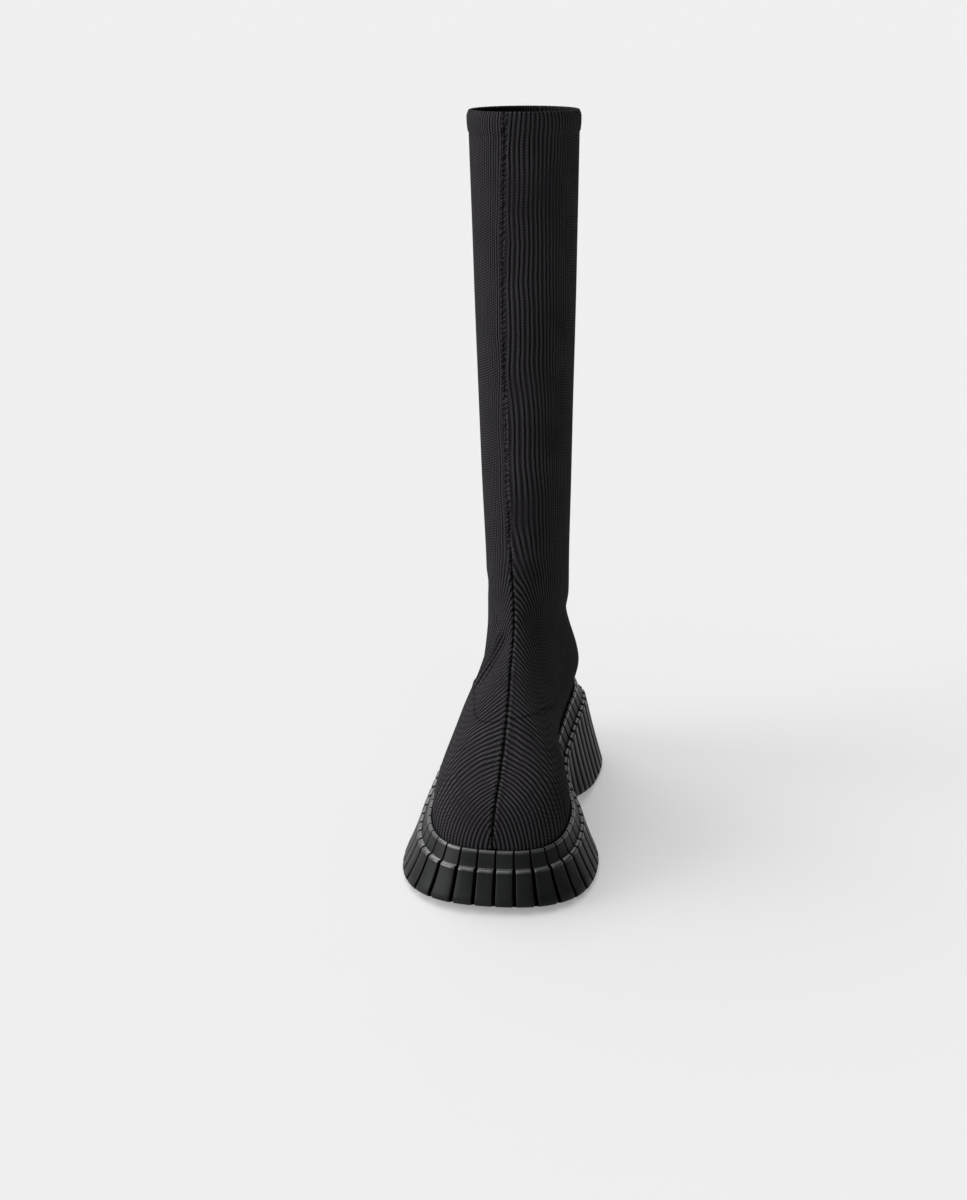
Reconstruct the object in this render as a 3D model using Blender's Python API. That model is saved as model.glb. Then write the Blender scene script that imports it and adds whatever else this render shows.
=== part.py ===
"""Knee-high knitted sock boot for the right foot, on a flared and ribbed sole unit.

Metres, +Z up, floor at Z = 0. The toe points to -Y and the inner side of the foot to +X.
Along the boot, a place is given as its distance forward of the back end of the sole's rim.
"""

from collections import namedtuple

import bmesh
import bpy
import numpy as np

# Sole unit
RIM_LENGTH = 0.261  # top rim, from heel to toe
BALL_WIDTH = 0.0896  # top rim, across the ball
HEEL_HEIGHT = 0.0595  # top rim above the floor, at the heel
TOE_HEIGHT = 0.0335  # top rim above the floor, at the toe
BAND_HEIGHT = 0.0095  # upper band, from the step to the rim
BAND_LEAN = 0.0036  # how far the upper band leans out down to the step
STEP_WIDTH = 0.0030  # ledge between the two bands
STEP_ROUND = 0.0013  # rounding of the ledge's outer edge
TOE_FLARE = 0.0070  # lower band's lean out to the floor, at the toe
BALL_FLARE = 0.0088
WAIST_FLARE = 0.0036
HEEL_FLARE = 0.0110
TREAD_CHAMFER = 0.0028
TOE_SPRING = 0.0035
ARCH_RISE = 0.0080
BLOCKS_A_SIDE = 30
GROOVE_WIDTH = 0.0017  # between two blocks of the lower band
GROOVE_DEPTH = 0.0030
BAND_GROOVE_WIDTH = 0.0009  # the same groove where it crosses the upper band
BAND_GROOVE_DEPTH = 0.0007
TREAD_DEPTH = 0.0022  # the same groove where it crosses the underside
MOULD_LINE = 0.0105  # first groove, inwards of the toe's tip
RIM_WALL = 0.0022
CUP_DEPTH = 0.0060  # from the rim down to the floor of the cup that holds the upper
FIT_GAP = 0.0005

# Upper
BOOT_HEIGHT = 0.445
INSTEP_HEIGHT = 0.126
BULGE_HEIGHT = 0.074  # up to here the heel of the upper keeps the rim's outline
KNIT_WALL = 0.0020
HEM_HEIGHT = 0.0135
HEM_STEP = 0.0007  # the folded hem stands this far out of the shaft
HEM_ROUND = 0.0007
COLLAR_WIDTH = 0.0694
COLLAR_DEPTH = 0.1065
ANKLE_WIDTH = 0.0536
ANKLE_DEPTH = 0.0950
ANKLE_LEAN = -0.0010  # centre of the shaft, beside the foot's axis
COLLAR_LEAN = -0.0064
TOE_OFFSET = 0.0016  # tip of the toe, beside the foot's axis

# Insole
INSOLE_THICKNESS = 0.0040

# Detail of the solids
FOOT_SECTIONS = 29
SHAFT_SECTIONS = 15
HALF_SECTION_POINTS = 16
RIM_POINTS_A_SIDE = 360

# Rim seen from above: place as a share of its length, half widths as shares of the ball width
RimRow = namedtuple("RimRow", "along inner outer")
RIM_ROWS = (
    RimRow(0.035, 0.215, 0.215),
    RimRow(0.140, 0.346, 0.352),
    RimRow(0.280, 0.334, 0.378),
    RimRow(0.370, 0.312, 0.402),
    RimRow(0.470, 0.292, 0.460),
    RimRow(0.570, 0.332, 0.498),
    RimRow(0.670, 0.426, 0.522),
    RimRow(0.760, 0.476, 0.526),
    RimRow(0.840, 0.468, 0.503),
    RimRow(0.920, 0.415, 0.428),
    RimRow(0.975, 0.300, 0.300),
)

# Rim seen from the side: 0 is the height at the toe and 1 the height at the heel
HeightRow = namedtuple("HeightRow", "along share")
RIM_HEIGHTS = (
    HeightRow(0.00, 1.000),
    HeightRow(0.20, 0.975),
    HeightRow(0.35, 0.800),
    HeightRow(0.50, 0.490),
    HeightRow(0.62, 0.240),
    HeightRow(0.75, 0.070),
    HeightRow(0.88, 0.000),
    HeightRow(1.00, 0.015),
)

# Underside seen from the side: shares of the arch's rise and of the toe spring
GroundRow = namedtuple("GroundRow", "along arch spring")
GROUND_ROWS = (
    GroundRow(0.00, 0.0, 0.00),
    GroundRow(0.27, 0.0, 0.00),
    GroundRow(0.35, 0.4, 0.00),
    GroundRow(0.50, 1.0, 0.00),
    GroundRow(0.56, 0.5, 0.00),
    GroundRow(0.62, 0.0, 0.00),
    GroundRow(0.84, 0.0, 0.00),
    GroundRow(0.93, 0.0, 0.25),
    GroundRow(1.03, 0.0, 1.00),
)

# Lower band's lean out, along the boot
FLARE_ALONG = (0.00, 0.30, 0.42, 0.50, 0.59, 0.78, 0.93, 1.00)
FLARE_OUT = (
    HEEL_FLARE,
    HEEL_FLARE,
    (HEEL_FLARE + WAIST_FLARE) / 2,
    WAIST_FLARE,
    (BALL_FLARE + WAIST_FLARE) / 2,
    BALL_FLARE,
    BALL_FLARE,
    TOE_FLARE,
)

# How far the upper swells past the rim over the waist, as shares of the ball width
SwellRow = namedtuple("SwellRow", "along inner outer")
SWELL_ROWS = (
    SwellRow(0.00, 0.000, 0.000),
    SwellRow(0.25, 0.038, 0.000),
    SwellRow(0.47, 0.056, -0.005),
    SwellRow(0.68, 0.010, 0.010),
    SwellRow(0.85, 0.000, 0.000),
    SwellRow(1.00, 0.000, 0.000),
)

# Sections of the foot, each a slanting cut from the rim up to the front seam.
# turn: place of its foot on the rim, 0 at the toe and 1 at the heel, where a half turn is the length
# front: place of its top, as a share of the seat's length
# instep, shaft: its height, as shares of toe to instep and of instep to collar
# ridge: share of the toe's offset, cap: where its crown starts, full: fullness of the crown
FootRow = namedtuple("FootRow", "turn front instep shaft ridge cap full closed")
FOOT_ROWS = (
    FootRow(0.000, 1.0000, 0.000, 0.000, 1.00, 0.00, 2.20, 0.00),
    FootRow(0.060, 0.9970, 0.062, 0.000, 0.95, 0.00, 2.20, 0.00),
    FootRow(0.120, 0.9850, 0.145, 0.000, 0.85, 0.00, 2.25, 0.00),
    FootRow(0.180, 0.9570, 0.230, 0.000, 0.70, 0.00, 2.30, 0.00),
    FootRow(0.250, 0.9020, 0.312, 0.000, 0.50, 0.00, 2.30, 0.00),
    FootRow(0.320, 0.8250, 0.400, 0.000, 0.30, 0.00, 2.25, 0.00),
    FootRow(0.390, 0.7380, 0.498, 0.000, 0.10, 0.00, 2.15, 0.00),
    FootRow(0.460, 0.6490, 0.612, 0.000, 0.00, 0.00, 2.05, 0.00),
    FootRow(0.530, 0.5690, 0.748, 0.000, 0.00, 0.00, 2.00, 0.00),
    FootRow(0.600, 0.5080, 0.893, 0.000, 0.00, 0.02, 2.00, 0.05),
    FootRow(0.670, 0.4670, 1.000, 0.022, 0.00, 0.08, 2.00, 0.15),
    FootRow(0.740, 0.4420, 1.000, 0.063, 0.00, 0.20, 2.05, 0.35),
    FootRow(0.800, 0.4290, 1.000, 0.100, 0.00, 0.34, 2.10, 0.60),
    FootRow(0.860, 0.4225, 1.000, 0.135, 0.00, 0.44, 2.15, 0.80),
    FootRow(0.910, 0.4195, 1.000, 0.163, 0.00, 0.49, 2.15, 0.92),
    FootRow(0.955, 0.4180, 1.000, 0.187, 0.00, 0.52, 2.15, 0.98),
    FootRow(1.000, 0.4170, 1.000, 0.210, 0.00, 0.54, 2.15, 1.00),
)

# Sections of the shaft, each a slanting ring from the back seam up to the front seam.
# back: place of its low end, rise: its height as a share of heel to collar
ShaftRow = namedtuple("ShaftRow", "back rise front shaft cap")
SHAFT_ROWS = (
    ShaftRow(0.000, 0.000, 0.4170, 0.210, 0.54),
    ShaftRow(-0.003, 0.032, 0.4162, 0.238, 0.53),
    ShaftRow(0.000, 0.075, 0.4155, 0.270, 0.53),
    ShaftRow(0.012, 0.125, 0.4150, 0.308, 0.52),
    ShaftRow(0.030, 0.185, 0.4145, 0.358, 0.51),
    ShaftRow(0.044, 0.255, 0.4140, 0.418, 0.50),
    ShaftRow(0.048, 0.345, 0.4138, 0.490, 0.50),
    ShaftRow(0.043, 0.450, 0.4138, 0.577, 0.50),
    ShaftRow(0.031, 0.580, 0.4142, 0.682, 0.50),
    ShaftRow(0.018, 0.720, 0.4150, 0.792, 0.50),
    ShaftRow(0.009, 0.860, 0.4160, 0.896, 0.50),
    ShaftRow(0.004, 1.000, 0.4170, 1.000, 0.50),
)

# Shaft's width from ankle (0) to collar (1), by height from instep (0) to collar (1)
WidthRow = namedtuple("WidthRow", "height share")
SHAFT_WIDTHS = (
    WidthRow(-0.30, 0.00),
    WidthRow(0.00, 0.00),
    WidthRow(0.10, 0.08),
    WidthRow(0.23, 0.25),
    WidthRow(0.42, 0.44),
    WidthRow(0.61, 0.65),
    WidthRow(0.78, 0.80),
    WidthRow(0.90, 0.91),
    WidthRow(1.00, 1.00),
)


def cubic(knots, values, at):
    """Smooth curve through a table's rows, with no bend at its two ends."""
    x = np.asarray(knots, float)
    y = np.asarray(values, float)
    gap = np.diff(x)
    rise = np.diff(y) / gap
    count = len(x)
    rows = np.eye(count)
    right = np.zeros(count)
    for i in range(1, count - 1):
        rows[i, i - 1 : i + 2] = gap[i - 1], 2 * (gap[i - 1] + gap[i]), gap[i]
        right[i] = 6 * (rise[i] - rise[i - 1])
    bend = np.linalg.solve(rows, right)
    at = np.clip(np.asarray(at, float), x[0], x[-1])
    k = np.clip(np.searchsorted(x, at) - 1, 0, count - 2)
    a = (x[k + 1] - at) / gap[k]
    b = 1 - a
    curved = (a**3 - a) * bend[k] + (b**3 - b) * bend[k + 1]
    return a * y[k] + b * y[k + 1] + curved * gap[k] ** 2 / 6


def column(rows, name):
    """One named column of a table."""
    return [getattr(row, name) for row in rows]


def smooth_step(share):
    """0 below 0, 1 above 1, and a smooth rise between them."""
    share = np.clip(share, 0, 1)
    return share * share * (3 - 2 * share)


def rim_loop():
    """The rim seen from above, as a closed curve through the table's rows: places and outward normals."""
    inner = [(row.inner * BALL_WIDTH, row.along * RIM_LENGTH) for row in RIM_ROWS]
    outer = [(-row.outer * BALL_WIDTH, row.along * RIM_LENGTH) for row in RIM_ROWS]
    corners = [(TOE_OFFSET, RIM_LENGTH), *inner[::-1], (0.0, 0.0), *outer]
    overlap = 5
    ring = np.array([*corners[-overlap:], *corners, *corners[: overlap + 1]])
    knots = np.append(0, np.cumsum(np.linalg.norm(np.diff(ring, axis=0), axis=1)))
    fine = np.linspace(knots[overlap], knots[overlap + len(corners)], 8 * RIM_POINTS_A_SIDE)
    places = np.stack([cubic(knots, ring[:, axis], fine) for axis in (0, 1)], axis=1)
    tangent = np.gradient(places, axis=0)
    tangent[0] = tangent[-1] = places[1] - places[-2]
    tangent /= np.linalg.norm(tangent, axis=1)[:, None]
    return places, np.stack([-tangent[:, 1], tangent[:, 0]], axis=1)


RIM_PLACES, RIM_NORMALS = rim_loop()


def side_samples(start_shift, count):
    """Places and normals at equal steps along each side, from the toe to the heel: inner, then outer."""
    steps = np.linalg.norm(np.diff(RIM_PLACES, axis=0), axis=1)
    run = np.append(0, np.cumsum(steps))
    heel = run[np.argmin(RIM_PLACES[:, 1])]
    inner = np.linspace(start_shift, heel, count)
    outer = np.linspace(run[-1] + start_shift, heel, count) % run[-1]
    return [along_rim(run, at) for at in (inner, outer)]


def along_rim(run, at):
    """Places and unit normals of the rim at the given distances round it."""
    places = np.stack([np.interp(at, run, RIM_PLACES[:, axis]) for axis in (0, 1)], axis=1)
    normals = np.stack([np.interp(at, run, RIM_NORMALS[:, axis]) for axis in (0, 1)], axis=1)
    return places, normals / np.linalg.norm(normals, axis=1)[:, None]


def rim_height(along):
    """Height of the rim above the floor."""
    share = cubic(column(RIM_HEIGHTS, "along"), column(RIM_HEIGHTS, "share"), along / RIM_LENGTH)
    return TOE_HEIGHT + share * (HEEL_HEIGHT - TOE_HEIGHT)


def ground_height(along):
    """Height of the underside: flat at heel and ball, raised at the arch and at the toe's tip."""
    knots = column(GROUND_ROWS, "along")
    arch = np.interp(along / RIM_LENGTH, knots, column(GROUND_ROWS, "arch"))
    spring = np.interp(along / RIM_LENGTH, knots, column(GROUND_ROWS, "spring"))
    return ARCH_RISE * smooth_step(arch) + TOE_SPRING * spring


def flare(along):
    """How far the lower band leans out between the step and the floor."""
    return cubic(FLARE_ALONG, FLARE_OUT, along / RIM_LENGTH)


def tread_reach():
    """Half of the sole's length and width on the floor, and the middle of it."""
    total_out = BAND_LEAN + STEP_WIDTH + flare(RIM_PLACES[:, 1])
    edge = RIM_PLACES + RIM_NORMALS * total_out[:, None]
    return (edge.max(axis=0) + edge.min(axis=0)) / 2


TREAD_MIDDLE = tread_reach()


def place(across, along, height):
    """Points in the boot's frame, whose origin is on the floor under the middle of the sole."""
    across, along, height = np.broadcast_arrays(across, along, height)
    return np.stack([across - TREAD_MIDDLE[0], TREAD_MIDDLE[1] - along, height], axis=-1)


def closed_mesh(name, points, faces, material):
    """One object from its points and faces, with doubled points made one."""
    mesh = bpy.data.meshes.new(name)
    bm = bmesh.new()
    corners = [bm.verts.new(point) for point in points]
    for face in faces:
        bm.faces.new([corners[k] for k in face])
    bmesh.ops.remove_doubles(bm, verts=bm.verts, dist=1e-5)
    bmesh.ops.triangulate(bm, faces=[face for face in bm.faces if len(face.verts) > 4])
    bm.to_mesh(mesh)
    bm.free()
    mesh.materials.append(material)
    mesh.shade_smooth()
    mesh.set_sharp_from_angle(angle=0.6)
    built = bpy.data.objects.new(name, mesh)
    bpy.context.scene.collection.objects.link(built)
    return built


def stacked_rings(rings):
    """Faces between rings of equal count, and strips that close the first and the last across the sole."""
    count = len(rings[0])
    faces = []
    for level in range(len(rings) - 1):
        low = level * count
        for k in range(count):
            after = (k + 1) % count
            faces.append((low + k, low + after, low + count + after, low + count + k))
    top = (len(rings) - 1) * count
    for k in range(count // 2 - 1):
        a, b = k, k + 1
        c, d = count - 2 - k, count - 1 - k
        faces.append((d, c, b, a))
        faces.append((top + a, top + b, top + c, top + d))
    return np.concatenate(rings), faces


def sole_ring(out, height, groove_width, groove_depth, groove_lift=0.0):
    """One level of the sole: each groove's mouth and floor and the middle of each block, round the rim.

    out and height are functions of the place along the boot; a groove's floor lies deeper by
    groove_depth and higher by groove_lift.
    """
    samples = side_samples(MOULD_LINE, 2 * BLOCKS_A_SIDE + 1)
    (inner, inner_normals), (outer, outer_normals) = samples
    places = np.concatenate([inner[:-1], outer[:0:-1]])
    normals = np.concatenate([inner_normals[:-1], outer_normals[:0:-1]])
    along_edge = np.stack([normals[:, 1], -normals[:, 0]], axis=1)
    # From the mouth's near corner, down to the floor, across it, up, and on to the block's middle.
    corners = ((0, -0.5, 0), (0, -0.3, 1), (0, 0.3, 1), (0, 0.5, 0), (1, 0, 0))
    points = []
    for start, sideways, sunk in corners:
        spot = places[start::2] + along_edge[start::2] * groove_width * sideways
        push = out(spot[:, 1]) - groove_depth * sunk
        edge = spot + normals[start::2] * push[:, None]
        points.append(place(edge[:, 0], edge[:, 1], height(edge[:, 1]) + groove_lift * sunk))
    return np.stack(points, axis=1).reshape(-1, 3)


def build_outsole(material):
    """Sole unit: grooved lower band, step, grooved upper band, rim, and the cup inside it."""

    def step_height(along):
        return rim_height(along) - BAND_HEIGHT

    def block_top(along):
        return BAND_LEAN + STEP_WIDTH + 0 * along

    def tread_edge(along):
        return block_top(along) + flare(along)

    step_groove = STEP_WIDTH + BAND_GROOVE_DEPTH
    rings = [
        sole_ring(
            lambda u: tread_edge(u) - TREAD_CHAMFER,
            ground_height,
            GROOVE_WIDTH,
            GROOVE_DEPTH,
            TREAD_DEPTH,
        ),
        sole_ring(
            tread_edge,
            lambda u: ground_height(u) + TREAD_CHAMFER,
            GROOVE_WIDTH,
            GROOVE_DEPTH,
            TREAD_DEPTH / 2,
        ),
        sole_ring(block_top, lambda u: step_height(u) - STEP_ROUND, GROOVE_WIDTH, step_groove),
        sole_ring(
            lambda u: block_top(u) - STEP_ROUND,
            step_height,
            GROOVE_WIDTH,
            step_groove - STEP_ROUND,
        ),
        sole_ring(
            lambda u: BAND_LEAN + 0 * u,
            lambda u: step_height(u) + STEP_ROUND / 4,
            BAND_GROOVE_WIDTH,
            BAND_GROOVE_DEPTH,
        ),
        sole_ring(lambda u: 0 * u, rim_height, BAND_GROOVE_WIDTH, BAND_GROOVE_DEPTH),
        sole_ring(lambda u: 0 * u - RIM_WALL, rim_height, BAND_GROOVE_WIDTH, 0.0),
        sole_ring(
            lambda u: 0 * u - RIM_WALL,
            lambda u: rim_height(u) - CUP_DEPTH,
            BAND_GROOVE_WIDTH,
            0.0,
        ),
    ]
    points, faces = stacked_rings(rings)
    return closed_mesh("outsole", points, faces, material)


def seat_sides(inset):
    """Each side of the rim moved inwards, as (place along, place across) with the toe first."""
    edge = RIM_PLACES - RIM_NORMALS * inset
    toe = np.argmax(edge[:, 1])
    edge = np.roll(edge[:-1], -toe, axis=0)
    heel = np.argmin(edge[:, 1])
    inner = edge[: heel + 1]
    outer = np.concatenate([edge[:1], edge[:heel-1:-1]])
    return (inner[:, 1], inner[:, 0]), (outer[:, 1], outer[:, 0])


SEAT_INSET = RIM_WALL + FIT_GAP
SEAT_SIDES = seat_sides(SEAT_INSET)
SEAT_BACK = SEAT_SIDES[0][0].min()
SEAT_LENGTH = SEAT_SIDES[0][0].max() - SEAT_BACK
SEAT_TIP = SEAT_SIDES[0][1][0]  # beside the foot's axis


def back_profile(height):
    """Place of the back seam at a height above the floor."""
    heights = HEEL_HEIGHT + np.array(column(SHAFT_ROWS, "rise")) * (BOOT_HEIGHT - HEEL_HEIGHT)
    places = SEAT_BACK + np.array(column(SHAFT_ROWS, "back")) * SEAT_LENGTH
    return cubic(heights, places, height)


def shaft_share(height):
    """0 at the instep and 1 at the collar."""
    return (height - INSTEP_HEIGHT) / (BOOT_HEIGHT - INSTEP_HEIGHT)


def shaft_centre(height):
    """How far the shaft stands beside the foot's axis."""
    return ANKLE_LEAN + (COLLAR_LEAN - ANKLE_LEAN) * np.clip(shaft_share(height), 0, 1)


def shaft_half_width(height):
    """Half of the shaft's width from the table, with the hem's step."""
    knots = column(SHAFT_WIDTHS, "height")
    share = cubic(knots, column(SHAFT_WIDTHS, "share"), shaft_share(height))
    return (ANKLE_WIDTH + share * (COLLAR_WIDTH - ANKLE_WIDTH)) / 2


def side_of_body(side, along, height):
    """Widest place of the body at a place along and a height; side is 0 for inner and 1 for outer.

    Near the rim it follows the rim's own outline, and higher up it becomes the shaft's oval.
    """
    sign = (1, -1)[side]
    knots, across = SEAT_SIDES[side]
    shift = back_profile(np.maximum(height, HEEL_HEIGHT)) - SEAT_BACK
    outline = np.interp(along - shift, knots[::-1], across[::-1])
    swell_rows = column(SWELL_ROWS, ("inner", "outer")[side])
    swell = cubic(column(SWELL_ROWS, "along"), swell_rows, along / RIM_LENGTH) * BALL_WIDTH
    risen = height - rim_height(along)
    outline = outline + sign * swell * smooth_step(risen / (0.35 * HEEL_HEIGHT))
    depth_share = np.clip(shaft_share(height), 0, 1)
    half_depth = (ANKLE_DEPTH + depth_share * (COLLAR_DEPTH - ANKLE_DEPTH)) / 2
    from_back = np.clip((along - back_profile(height)) / half_depth, 0, 1)
    oval = shaft_half_width(height) * np.sqrt(1 - (1 - from_back) ** 2)
    turned = smooth_step((height - BULGE_HEIGHT) / (INSTEP_HEIGHT - BULGE_HEIGHT))
    return (1 - turned) * outline + turned * (shaft_centre(height) + sign * oval)


def section_points(base, front, ridge, cap, full, closed):
    """One section from the outer side over the front seam to the inner side.

    base and front are (along, height). The crown follows a superellipse above its start.
    """
    steps = np.linspace(0, 1, HALF_SECTION_POINTS + 1)
    open_run = np.sin(steps * np.pi / 2)
    ring_run = (1 - np.cos(steps * np.pi)) / 2
    run = (1 - closed) * open_run + closed * ring_run
    along = base[0] + run * (front[0] - base[0])
    height = base[1] + run * (front[1] - base[1])
    crown = np.clip((run - cap) / (1 - cap), 0, 1)
    spread = np.maximum(1 - crown**full, 0) ** (1 / full)
    halves = []
    for side in (0, 1):
        across = side_of_body(side, along, height)
        halves.append(place(ridge + (across - ridge) * spread, along, height))
    inner, outer = halves
    if closed == 1:
        inner[0] = outer[0] = (inner[0] + outer[0]) / 2
    return np.concatenate([outer, inner[-2::-1]])


def foot_section(turn):
    """Section of the foot whose low ends stand on the rim."""
    turns = column(FOOT_ROWS, "turn")
    front, instep, shaft, ridge, cap, full, closed = (
        float(cubic(turns, column(FOOT_ROWS, name), turn)) for name in FootRow._fields[1:]
    )
    base_along = SEAT_BACK + SEAT_LENGTH * (1 + np.cos(np.pi * turn)) / 2
    tip_height = rim_height(SEAT_BACK + SEAT_LENGTH)
    base = (base_along, rim_height(base_along))
    top = tip_height + instep * (INSTEP_HEIGHT - tip_height) + shaft * (BOOT_HEIGHT - INSTEP_HEIGHT)
    turned = smooth_step((top - HEEL_HEIGHT) / (INSTEP_HEIGHT - HEEL_HEIGHT))
    centre = (1 - turned) * SEAT_TIP * ridge + turned * shaft_centre(top)
    front_place = (SEAT_BACK + front * SEAT_LENGTH, top)
    return section_points(base, front_place, centre, max(cap, 0), full, np.clip(closed, 0, 1))


def shaft_section(share):
    """Ring of the shaft; share runs from the heel's end (0) to the collar (1)."""
    knots = np.linspace(0, 1, len(SHAFT_ROWS))
    rise, front, shaft, cap = (
        float(cubic(knots, column(SHAFT_ROWS, name), share)) for name in ShaftRow._fields[1:]
    )
    height = HEEL_HEIGHT + rise * (BOOT_HEIGHT - HEEL_HEIGHT)
    top = INSTEP_HEIGHT + shaft * (BOOT_HEIGHT - INSTEP_HEIGHT)
    base = (float(back_profile(height)), height)
    front_place = (SEAT_BACK + front * SEAT_LENGTH, top)
    return section_points(base, front_place, shaft_centre(top), cap, FOOT_ROWS[-1].full, 1.0)


def level_ring(height, out):
    """Level ring of the shaft, standing out from it by out."""
    fronts = cubic(column(SHAFT_ROWS, "shaft"), column(SHAFT_ROWS, "front"), shaft_share(height))
    base = (float(back_profile(height)), height)
    front = (SEAT_BACK + float(fronts) * SEAT_LENGTH, height)
    crown = SHAFT_ROWS[-1].cap, FOOT_ROWS[-1].full
    ring = section_points(base, front, shaft_centre(height), *crown, 1)
    middle = (ring.max(axis=0) + ring.min(axis=0)) / 2
    reach = (ring.max(axis=0) - ring.min(axis=0)) / 2
    ring[:, :2] += (ring - middle)[:, :2] * out / reach[:2]
    return ring


def build_upper(material):
    """Knitted upper and shaft: one wall, open at the collar and underneath, with a skirt in the cup."""
    sections = [foot_section(turn) for turn in np.linspace(0, 1, FOOT_SECTIONS)]
    sections += [shaft_section(share) for share in np.linspace(0, 1, SHAFT_SECTIONS + 1)[1:-1]]
    hem = BOOT_HEIGHT - HEM_HEIGHT
    sections += [level_ring(hem - HEM_ROUND, 0.0), level_ring(hem, HEM_STEP)]
    sections += [level_ring(BOOT_HEIGHT - HEM_ROUND, HEM_STEP), level_ring(BOOT_HEIGHT, HEM_STEP / 2)]
    grid = np.array(sections)
    rows, columns = grid.shape[:2]
    skirt = grid[:FOOT_SECTIONS, [0, -1]].copy()
    skirt[..., 2] += FIT_GAP - CUP_DEPTH
    points = np.concatenate([grid.reshape(-1, 3), skirt.reshape(-1, 3)])
    faces = []
    for i in range(rows - 1):
        for j in range(columns - 1):
            a = i * columns + j
            faces.append((a, a + 1, a + columns + 1, a + columns))
    first = rows * columns
    for i in range(FOOT_SECTIONS - 1):
        low, high = first + 2 * i, i * columns
        faces.append((low, high, high + columns, low + 2))
        low, high = low + 1, high + columns - 1
        faces.append((high, low, low + 2, high + columns))
    upper = closed_mesh("upper", points, faces, material)
    wall = upper.modifiers.new("Wall", "SOLIDIFY")
    wall.thickness = KNIT_WALL
    wall.offset = -1.0
    wall.use_even_offset = True
    return upper


def build_insole(material):
    """Insole lying in the cup, inside the upper."""
    inset = SEAT_INSET + KNIT_WALL + FIT_GAP
    (inner, inner_normals), (outer, outer_normals) = side_samples(0.0, BLOCKS_A_SIDE + 1)
    places = np.concatenate([inner[:-1], outer[:0:-1]])
    normals = np.concatenate([inner_normals[:-1], outer_normals[:0:-1]])
    edge = places - normals * inset
    rings = []
    for above in (0.0, INSOLE_THICKNESS):
        height = rim_height(edge[:, 1]) - CUP_DEPTH + FIT_GAP + above
        rings.append(place(edge[:, 0], edge[:, 1], height))
    points, faces = stacked_rings(rings)
    return closed_mesh("insole", points, faces, material)


def surface(name, colour, roughness):
    """A plain material with its colour and roughness."""
    material = bpy.data.materials.new(name)
    material.use_nodes = True
    shader = material.node_tree.nodes["Principled BSDF"]
    shader.inputs["Base Color"].default_value = (*colour, 1.0)
    shader.inputs["Roughness"].default_value = roughness
    shader.inputs["Metallic"].default_value = 0.0
    return material


def build_boot():
    """Clears the scene and builds the three pieces."""
    for old in list(bpy.data.objects):
        bpy.data.objects.remove(old)
    build_outsole(surface("moulded_sole_rubber", (0.022, 0.023, 0.024), 0.42))
    build_upper(surface("black_rib_knit", (0.014, 0.014, 0.016), 0.9))
    build_insole(surface("insole_textile", (0.02, 0.02, 0.021), 0.85))


build_boot()
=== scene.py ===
"""Looks of a tall rib-knit sock boot on a flared, blocked sole, shown alone on a pale floor.

Metres, +Z up. The toe points to -Y and the inner side of this right foot is +X. "Along" is the
distance forward of the back end of the sole's rim, as in the part's own tables.
"""

from collections import namedtuple

import bpy
import numpy as np
from mathutils import Euler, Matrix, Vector


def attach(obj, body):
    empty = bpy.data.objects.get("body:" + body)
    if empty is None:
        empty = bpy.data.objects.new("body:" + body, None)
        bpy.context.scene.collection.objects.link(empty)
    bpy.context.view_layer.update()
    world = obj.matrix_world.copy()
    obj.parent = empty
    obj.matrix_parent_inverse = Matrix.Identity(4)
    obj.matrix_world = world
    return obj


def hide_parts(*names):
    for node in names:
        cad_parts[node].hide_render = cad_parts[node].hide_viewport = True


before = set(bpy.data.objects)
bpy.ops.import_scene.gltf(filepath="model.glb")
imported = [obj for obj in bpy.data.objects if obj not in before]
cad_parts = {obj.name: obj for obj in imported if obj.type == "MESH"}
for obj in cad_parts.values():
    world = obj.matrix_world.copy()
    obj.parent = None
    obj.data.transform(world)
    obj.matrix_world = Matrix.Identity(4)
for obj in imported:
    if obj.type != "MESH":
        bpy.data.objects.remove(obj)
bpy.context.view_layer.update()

# Sole unit, the same values as the part's
RIM_LENGTH = 0.261
BALL_WIDTH = 0.0896
HEEL_HEIGHT = 0.0595
TOE_HEIGHT = 0.0335
BAND_HEIGHT = 0.0095
BAND_LEAN = 0.0036
STEP_WIDTH = 0.0030
TOE_FLARE = 0.0070
BALL_FLARE = 0.0088
WAIST_FLARE = 0.0036
HEEL_FLARE = 0.0110
TOE_SPRING = 0.0050
ARCH_RISE = 0.0080
BLOCKS_A_SIDE = 30
MOULD_LINE = 0.0105
RIM_WALL = 0.0022
CUP_DEPTH = 0.0060
FIT_GAP = 0.0005

# Upper, the same values as the part's
BOOT_HEIGHT = 0.445
INSTEP_HEIGHT = 0.126
BULGE_HEIGHT = 0.074
KNIT_WALL = 0.0020
HEM_HEIGHT = 0.0135
COLLAR_WIDTH = 0.0694
COLLAR_DEPTH = 0.1065
ANKLE_WIDTH = 0.0536
ANKLE_DEPTH = 0.0950
ANKLE_LEAN = -0.0010
COLLAR_LEAN = -0.0064
TOE_OFFSET = 0.0016

# What the looks add to the sole
GROOVE_WIDTH = 0.0016
GROOVE_DEPTH = 0.0028
HEEL_GROOVES = 1.5  # how much wider the grooves are round the heel
BAND_GROOVE_WIDTH = 0.0010
BAND_GROOVE_DEPTH = 0.0010
BLOCK_ROUND = 0.0017  # upper edge of each block
BLOCK_CORNER = 0.0009  # its two upright edges
TREAD_ROUND = 0.0030
RIM_ROUND = 0.0009

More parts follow.
